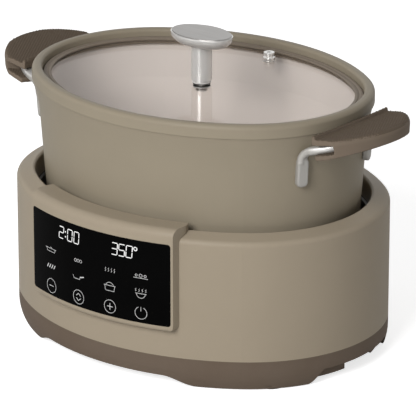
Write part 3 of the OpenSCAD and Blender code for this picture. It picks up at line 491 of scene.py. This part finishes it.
MARK_LIGHT = lit_mark("mark_light", MARK_GLOW)

for cad_name, cad_object in NODES.items():
    cad_object.data.materials.clear()
    cad_object.data.materials.append(MATERIALS[SLOT_OF[cad_name]])


# Pieces

def link_object(name, data):
    """A new object in the scene."""
    thing = bpy.data.objects.new(name, data)
    bpy.context.scene.collection.objects.link(thing)
    return thing


def add_piece(name, mesh, body, material):
    """A new piece that rides on a body and takes a material slot's finish."""
    piece = link_object(name, mesh)
    piece.data.materials.clear()
    piece.data.materials.append(material)
    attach(piece, body)
    return piece


def stand_for(node_name, name, mesh, body):
    """A piece in a CAD node's place, with the node's own finish."""
    slot_name = SLOT_OF[node_name]
    piece = add_piece(name, mesh, body, MATERIALS[slot_name])
    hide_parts(node_name)
    return piece


def mesh_from(bm, name):
    """A mesh of what was built, with its faces looking out."""
    bmesh.ops.recalc_face_normals(bm, faces=bm.faces)
    mesh = bpy.data.meshes.new(name)
    bm.to_mesh(mesh)
    bm.free()
    return mesh


def rounded_copy(node_name, voxel, steps):
    """A mesh like a CAD node's, with its edges rounded over."""
    mesh = NODES[node_name].data.copy()
    bm = bmesh.new()
    bm.from_mesh(mesh)
    bmesh.ops.remove_doubles(bm, verts=bm.verts, dist=WELD_DISTANCE)
    bm.to_mesh(mesh)
    bm.free()
    helper = link_object(node_name + "_round", mesh)
    remesh = helper.modifiers.new("remesh", "REMESH")
    remesh.mode = "VOXEL"
    remesh.voxel_size = voxel
    soften = helper.modifiers.new("soften", "SMOOTH")
    soften.factor = SMOOTH_FACTOR
    soften.iterations = steps
    bpy.context.view_layer.update()
    evaluated = helper.evaluated_get(bpy.context.evaluated_depsgraph_get())
    rounded = bpy.data.meshes.new_from_object(evaluated)
    bpy.data.objects.remove(helper)
    for polygon in rounded.polygons:
        polygon.use_smooth = True
    return rounded


def swell(mesh, amount):
    """Moves each vertex along its normal, by an amount that may depend on its place and normal."""
    normals = [vertex.normal.copy() for vertex in mesh.vertices]
    for vertex, normal in zip(mesh.vertices, normals):
        vertex.co += normal * amount(vertex.co, normal)


def hatch_height(across, along):
    """Short raised dashes in staggered, slanted rows."""
    row = (across + HATCH_SKEW * along) / HATCH_PITCH
    place = along / HATCH_PITCH + HATCH_STAGGER * (math.floor(row) % 2)
    dash = math.sin(math.pi * (row % 1.0)) * math.sin(math.pi * (place % 1.0))
    return HATCH_HEIGHT * dash


def make_grip(side):
    """A grip with rounded edges and a raised hatch on its top, clear of its outer edge."""
    mesh = rounded_copy(side + "_grip", GRIP_VOXEL, GRIP_SMOOTH_STEPS)
    outer = max(abs(vertex.co.x) for vertex in mesh.vertices)

    def hatch(place, normal):
        on_top = normal.z > HATCH_UP and outer - abs(place.x) > HATCH_MARGIN
        return hatch_height(place.x, place.y) if on_top else 0.0

    swell(mesh, hatch)
    stand_for(side + "_grip", side + "_grip_hood", mesh, "pot")


def round_legs(mesh):
    """Rounds the flat legs' edges until they run into the bends."""
    bm = bmesh.new()
    bm.from_mesh(mesh)
    legs = [vertex for vertex in bm.verts if vertex.co.z < LEG_ROUND_TOP]
    for _ in range(LEG_ROUND_STEPS):
        bmesh.ops.smooth_vert(bm, verts=legs, factor=SMOOTH_FACTOR,
                              use_axis_x=True, use_axis_y=True, use_axis_z=True)
    bm.to_mesh(mesh)
    bm.free()


def make_bar(side):
    """A handle bar with rounded edges, swollen to the photographed thickness."""
    mesh = rounded_copy(side + "_handle_bar", BAR_VOXEL, BAR_SMOOTH_STEPS)
    round_legs(mesh)
    swell(mesh, lambda place, normal: BAR_SWELL)
    stand_for(side + "_handle_bar", side + "_bow_bar", mesh, "pot")


def turned_mesh(name, profile):
    """A closed outline of radius and height, turned round the Z axis."""
    bm = bmesh.new()
    rings = []
    for index in range(RING_SEGMENTS):
        angle = math.tau * index / RING_SEGMENTS
        rings.append([bm.verts.new((radius * math.cos(angle), radius * math.sin(angle), height))
                      for radius, height in profile])
    for ring, after in zip(rings, rings[1:] + rings[:1]):
        for k in range(len(profile)):
            j = (k + 1) % len(profile)
            bm.faces.new((ring[k], after[k], after[j], ring[j]))
    return mesh_from(bm, name)


def grooved_outline(low, high, radius, grooves):
    """Outline of a bored ring with bevelled corners and even grooves round its side."""
    outline = [(FOOT_BORE, low), (radius - RING_EDGE, low), (radius, low + RING_EDGE)]
    for index in range(grooves):
        middle = low + (high - low) * (index + 1) / (grooves + 1)
        outline += [(radius, middle - GROOVE_HALF),
                    (radius - GROOVE_DEPTH, middle - GROOVE_HALF / 2),
                    (radius - GROOVE_DEPTH, middle + GROOVE_HALF / 2),
                    (radius, middle + GROOVE_HALF)]
    return outline + [(radius, high - RING_EDGE), (radius - RING_EDGE, high), (FOOT_BORE, high)]


def make_ring(name, node_name, radius, grooves=0):
    """A turned ring in a CAD ring's place, slimmer and with its grooves."""
    low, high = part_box(node_name)
    mesh = turned_mesh(name, grooved_outline(low.z, high.z, radius, grooves))
    stand_for(node_name, name, mesh, "lid")


def make_spring():
    """The sensor's spring, which shortens under its cap in the real cooker, as a piece with a mesh of
    its own.
    """
    coil = stand_for("sensor_spring", "sensor_coil", NODES["sensor_spring"].data.copy(), "base")
    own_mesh(coil)


for grip_side in ("right", "left"):
    make_grip(grip_side)
    make_bar(grip_side)
make_ring("knob_foot", "knob_collar", FOOT_RADIUS, FOOT_GROOVES)
make_ring("knob_seal", "knob_gasket", SEAL_RADIUS)
make_ring("knob_shim", "knob_washer", SEAL_RADIUS)
make_spring()


# Lit marks on the touch panel

def on_panel(across, up, rise):
    """A point on the panel's curved front, from millimetres across and up."""
    radius = PANEL_RADIUS + rise
    x = across * MM
    return Vector((x, PANEL_AXIS - math.sqrt(radius * radius - x * x), up * MM))


def add_prism(bm, outline):
    """A thin closed plate over a flat outline, wrapped on the panel."""
    front = [bm.verts.new(on_panel(x, z, MARK_RISE)) for x, z in outline]
    back = [bm.verts.new(on_panel(x, z, -MARK_SINK)) for x, z in outline]
    bm.faces.new(front)
    bm.faces.new(reversed(back))
    count = len(outline)
    for i in range(count):
        j = (i + 1) % count
        bm.faces.new((front[j], front[i], back[i], back[j]))


def stroke(bm, points, width=MARK_STROKE, closed=False):
    """A line of even width through points, as short plates end to end."""
    path = list(points) + ([points[0]] if closed else [])
    fine = [Vector(path[0])]
    for start, end in zip(path, path[1:]):
        start, end = Vector(start), Vector(end)
        steps = max(1, math.ceil((end - start).length / STROKE_STEP))
        fine += [start.lerp(end, k / steps) for k in range(1, steps + 1)]
    sides = []
    for i, point in enumerate(fine):
        before = fine[i - 1] if i else (fine[-2] if closed else fine[0])
        after = fine[i + 1] if i + 1 < len(fine) else (fine[1] if closed else fine[-1])
        along = (after - before).normalized()
        across = Vector((-along.y, along.x)) * width / 2
        sides.append((point + across, point - across))
    for (a, b), (c, d) in zip(sides, sides[1:]):
        add_prism(bm, (a, b, d, c))


def line(bm, centre, offsets, width=MARK_STROKE):
    """A stroke through points that are given from a centre."""
    stroke(bm, [(centre[0] + across, centre[1] + up) for across, up in offsets], width)


def level_line(bm, centre, half, up=0.0, width=MARK_STROKE):
    """A level stroke that reaches half its length to each side of a centre."""
    line(bm, centre, [(-half, up), (half, up)], width)


def arc_points(centre, radius, start, end, sides):
    """Points along an arc between two angles in degrees."""
    angles = [math.radians(start + (end - start) * i / sides) for i in range(sides + 1)]
    return [(centre[0] + radius * math.cos(angle), centre[1] + radius * math.sin(angle))
            for angle in angles]


def ring_line(bm, centre, radius, sides, width=MARK_STROKE):
    """A closed round stroke."""
    stroke(bm, arc_points(centre, radius, 0, 360, sides)[:-1], width, closed=True)


def tub_line(bm, centre, top, bottom, rim, floor):
    """A vessel's side view: its half widths at the rim and the floor, and their heights."""
    line(bm, centre, [(-top, rim), (-bottom, floor), (bottom, floor), (top, rim)])


def segment_lines(left, bottom):
    """The seven segments' end points in a digit's box."""
    right = left + DIGIT_WIDTH
    top = bottom + DIGIT_HEIGHT
    middle = (bottom + top) / 2
    return {
        "a": ((left, top), (right, top)), "b": ((right, middle), (right, top)),
        "c": ((right, bottom), (right, middle)), "d": ((left, bottom), (right, bottom)),
        "e": ((left, bottom), (left, middle)), "f": ((left, middle), (left, top)),
        "g": ((left, middle), (right, middle)),
    }


def draw_digit(bm, digit, left):
    """A seven-segment digit of pointed bars, leaning a little."""
    half = DIGIT_STROKE / 2
    lines = segment_lines(left, DIGIT_FOOT)
    for name in SEGMENTS[digit]:
        start, end = (Vector(p) for p in lines[name])
        along = (end - start).normalized()
        across = Vector((-along.y, along.x)) * half
        start, end = start + along * DIGIT_GAP, end - along * DIGIT_GAP
        shape = (start, start + along * half - across, end - along * half - across,
                 end, end - along * half + across, start + along * half + across)
        add_prism(bm, [(p.x + DIGIT_SLANT * (p.y - DIGIT_FOOT), p.y) for p in shape])


def draw_dot(bm, centre, size):
    """A small square dot."""
    half = size / 2
    x, z = centre
    add_prism(bm, ((x - half, z - half), (x + half, z - half), (x + half, z + half),
                   (x - half, z + half)))


def add_marks(bm, name, material):
    """The drawn plates as one lit piece on the base."""
    add_piece(name, mesh_from(bm, name), "base", material)


def draw_digits():
    """The time and the temperature."""
    bm = bmesh.new()
    for digit, left in TIME_DIGITS:
        draw_digit(bm, digit, left)
    for height in COLON_HEIGHTS:
        draw_dot(bm, (COLON_ACROSS, height), COLON_SIZE)
    for digit, left in HEAT_DIGITS:
        draw_digit(bm, digit, left)
    ring_line(bm, DEGREE_PLACE, DEGREE_RADIUS, DEGREE_SIDES, DEGREE_STROKE)
    add_marks(bm, "panel_digits", DIGIT_LIGHT)


def draw_pan(bm, centre):
    """A wide pan with a short lid knob."""
    rim = 1.0
    tub_line(bm, centre, top=6.0, bottom=5.0, rim=rim, floor=-ICON_HALF)
    level_line(bm, centre, half=7.0, up=rim)
    level_line(bm, centre, half=1.0, up=2.0)


def draw_grains(bm, centre):
    """Three grains in a row."""
    x, z = centre
    pitch = 3.0
    for step in (-1, 0, 1):
        ring_line(bm, (x + step * pitch, z), radius=1.3, sides=SMALL_SIDES)


def draw_waves(bm, centre, half_height=ICON_HALF):
    """Four rising waves."""
    third = half_height / 3
    for shift in FOUR_ABREAST:
        line(bm, centre, [(shift, -half_height), (shift + WAVE_SWING, -third),
                          (shift, third), (shift + WAVE_SWING, half_height)])


def draw_bubbles(bm, centre):
    """A large bubble between two small ones, over a level."""
    x, z = centre
    pitch = 4.0
    rise = 0.6
    small = 1.0
    large = 1.4
    level_line(bm, centre, half=6.5, up=-1.6)
    for step, radius in ((-1, small), (0, large), (1, small)):
        ring_line(bm, (x + step * pitch, z + rise), radius, SMALL_SIDES)


def draw_bars(bm, centre):
    """Four bold slanted bars."""
    lean = 1.0
    for shift in FOUR_ABREAST:
        line(bm, centre, [(shift - lean, -ICON_HALF), (shift + lean, ICON_HALF)], BOLD_STROKE)


def draw_skillet(bm, centre):
    """A skillet with a bold handle on its right."""
    x, z = centre
    left_shift = 1.75
    handle_root = (2.2, 0.4)
    handle_end = (6.5, 1.5)
    tub_line(bm, (x - left_shift, z), top=4.25, bottom=3.25, rim=1.2, floor=-1.5)
    line(bm, centre, [handle_root, handle_end], BOLD_STROKE)


def draw_crock(bm, centre):
    """A deep crock under a domed lid."""
    x, z = centre
    rim = 1.0
    dome_drop = 0.6
    tub_line(bm, centre, top=5.0, bottom=4.2, rim=rim, floor=-3.6)
    level_line(bm, centre, half=5.8, up=rim)
    stroke(bm, arc_points((x, z - dome_drop), radius=4.4, start=30, end=150, sides=8))


def draw_bowl(bm, centre):
    """A round bowl with steam over it."""
    x, z = centre
    rim_drop = 0.4
    steam_rise = 2.4
    stroke(bm, arc_points((x, z - rim_drop), radius=4.0, start=180, end=360, sides=SMALL_SIDES))
    level_line(bm, centre, half=5.0, up=-rim_drop)
    draw_waves(bm, (x - WAVE_SWING / 2, z + steam_rise), half_height=1.3)


def draw_buttons(bm):
    """Ringed minus, arrows and plus, and an open power ring with its stem."""
    minus, arrows, plus, power = [(column, BUTTON_ROW) for column in COLUMNS]
    for place, radius in zip((minus, arrows, plus), BUTTON_RADII):
        ring_line(bm, place, radius, BUTTON_SIDES)
    power_radius = BUTTON_RADII[-1]
    stroke(bm, arc_points(power, power_radius, POWER_START, POWER_END, POWER_SIDES))
    line(bm, power, [(0.0, POWER_STEM), (0.0, power_radius)])
    for place in (minus, plus):
        level_line(bm, place, SIGN_HALF, width=SIGN_STROKE)
    for face in (-1, 1):
        line(bm, plus, [(0.0, face * SIGN_CLEAR), (0.0, face * SIGN_HALF)], SIGN_STROKE)
        line(bm, arrows, [(-ARROW_HALF, face * ARROW_LOW), (0.0, face * ARROW_TIP),
                          (ARROW_HALF, face * ARROW_LOW)], SIGN_STROKE)


def draw_marks():
    """Two rows of pictograms over the touch buttons."""
    bm = bmesh.new()
    first = (draw_pan, draw_grains, draw_waves, draw_bubbles)
    second = (draw_bars, draw_skillet, draw_crock, draw_bowl)
    for column, upper, lower in zip(COLUMNS, first, second):
        upper(bm, (column, FIRST_ROW))
        lower(bm, (column, SECOND_ROW))
    draw_buttons(bm)
    add_marks(bm, "panel_marks", MARK_LIGHT)


draw_digits()
draw_marks()


# Stage: floor, light and camera

def make_floor():
    """A pale floor that is white to the camera apart from the object's shadow."""
    material, graph = new_material("pale_floor")
    speck = graph.mix(graph.noise(FLOOR_SPECK), grey(FLOOR_PALE), grey(FLOOR_PALER))
    graph.fill(graph.shader, Base_Color=speck, Roughness=FLOOR_ROUGHNESS,
               Specular_IOR_Level=FLOOR_SPECULAR)
    path = graph.add("LightPath")
    seen = graph.maths("MAXIMUM", path.outputs["Is Camera Ray"], path.outputs["Is Transmission Ray"])
    glow = graph.add("Emission", Strength=graph.maths("MULTIPLY", seen, FLOOR_GLOW))
    both = graph.add("AddShader")
    graph.feed(both.inputs[0], graph.shader.outputs["BSDF"])
    graph.feed(both.inputs[1], glow.outputs["Emission"])
    graph.show(both.outputs["Shader"])
    mesh = bpy.data.meshes.new("floor")
    corners = [(-FLOOR_HALF, -FLOOR_HALF, 0), (FLOOR_HALF, -FLOOR_HALF, 0),
               (FLOOR_HALF, FLOOR_HALF, 0), (-FLOOR_HALF, FLOOR_HALF, 0)]
    mesh.from_pydata(corners, [], [(0, 1, 2, 3)])
    floor = link_object("floor", mesh)
    mesh.materials.append(material)


def make_world():
    """White where it is seen, and a softer fill on the object."""
    world = bpy.data.worlds.new("studio")
    bpy.context.scene.world = world
    world.use_nodes = True
    graph = Graph(world.node_tree)
    soft = graph.nodes["Background"]
    graph.fill(soft, Color=WHITE, Strength=WORLD_FILL)
    white = graph.add("Background", Color=WHITE, Strength=1.0)
    path = graph.add("LightPath")
    seen = graph.maths("MAXIMUM", path.outputs["Is Camera Ray"], path.outputs["Is Glossy Ray"])
    direct = graph.maths("MAXIMUM", seen, path.outputs["Is Transmission Ray"])
    sky = graph.mix_shaders(direct, soft.outputs["Background"], white.outputs["Background"])
    graph.show(sky, "World Output")


def direction(turn, rise):
    """From the object towards a turn from the front and a rise, both in radians."""
    return Vector((math.sin(turn) * math.cos(rise), -math.cos(turn) * math.cos(rise),
                   math.sin(rise)))


def add_softbox(name, bearing, rise, distance, size, share, shines):
    """A square lamp round the object. At a share of 1 it lights a facing surface like a white world."""
    away = direction(math.radians(bearing), math.radians(rise))
    lamp = bpy.data.lights.new(name, "AREA")
    lamp.shape = "SQUARE"
    lamp.size = size
    lamp.energy = share * (math.pi * distance) ** 2
    holder = link_object(name, lamp)
    holder.location = LAMP_AIM + away * distance
    holder.rotation_euler = (-away).to_track_quat("-Z", "Y").to_euler()
    holder.visible_glossy = shines


def make_camera():
    """A camera that sees what the photograph saw."""
    eye = direction(CAMERA_TURN, CAMERA_RISE)
    right = Vector((math.cos(CAMERA_TURN), math.sin(CAMERA_TURN), 0.0))
    up = eye.cross(right)
    place = Vector((0.0, 0.0, AIM_HEIGHT)) + right * AIM_ACROSS + eye * CAMERA_DISTANCE
    lens = bpy.data.cameras.new("photo_camera")
    lens.sensor_width = SENSOR
    lens.lens = FOCAL_PIXELS / PICTURE_SIZE * SENSOR
    lens.clip_end = CLIP_END
    holder = link_object("photo_camera", lens)
    turn = Matrix((right, up, eye)).transposed()
    holder.matrix_world = Matrix.Translation(place) @ turn.to_4x4()
    bpy.context.scene.camera = holder


make_floor()
make_world()
for lamp_name, setting in LAMPS.items():
    add_softbox(lamp_name, **setting)
make_camera()

bpy.context.scene.view_settings.view_transform = "Standard"
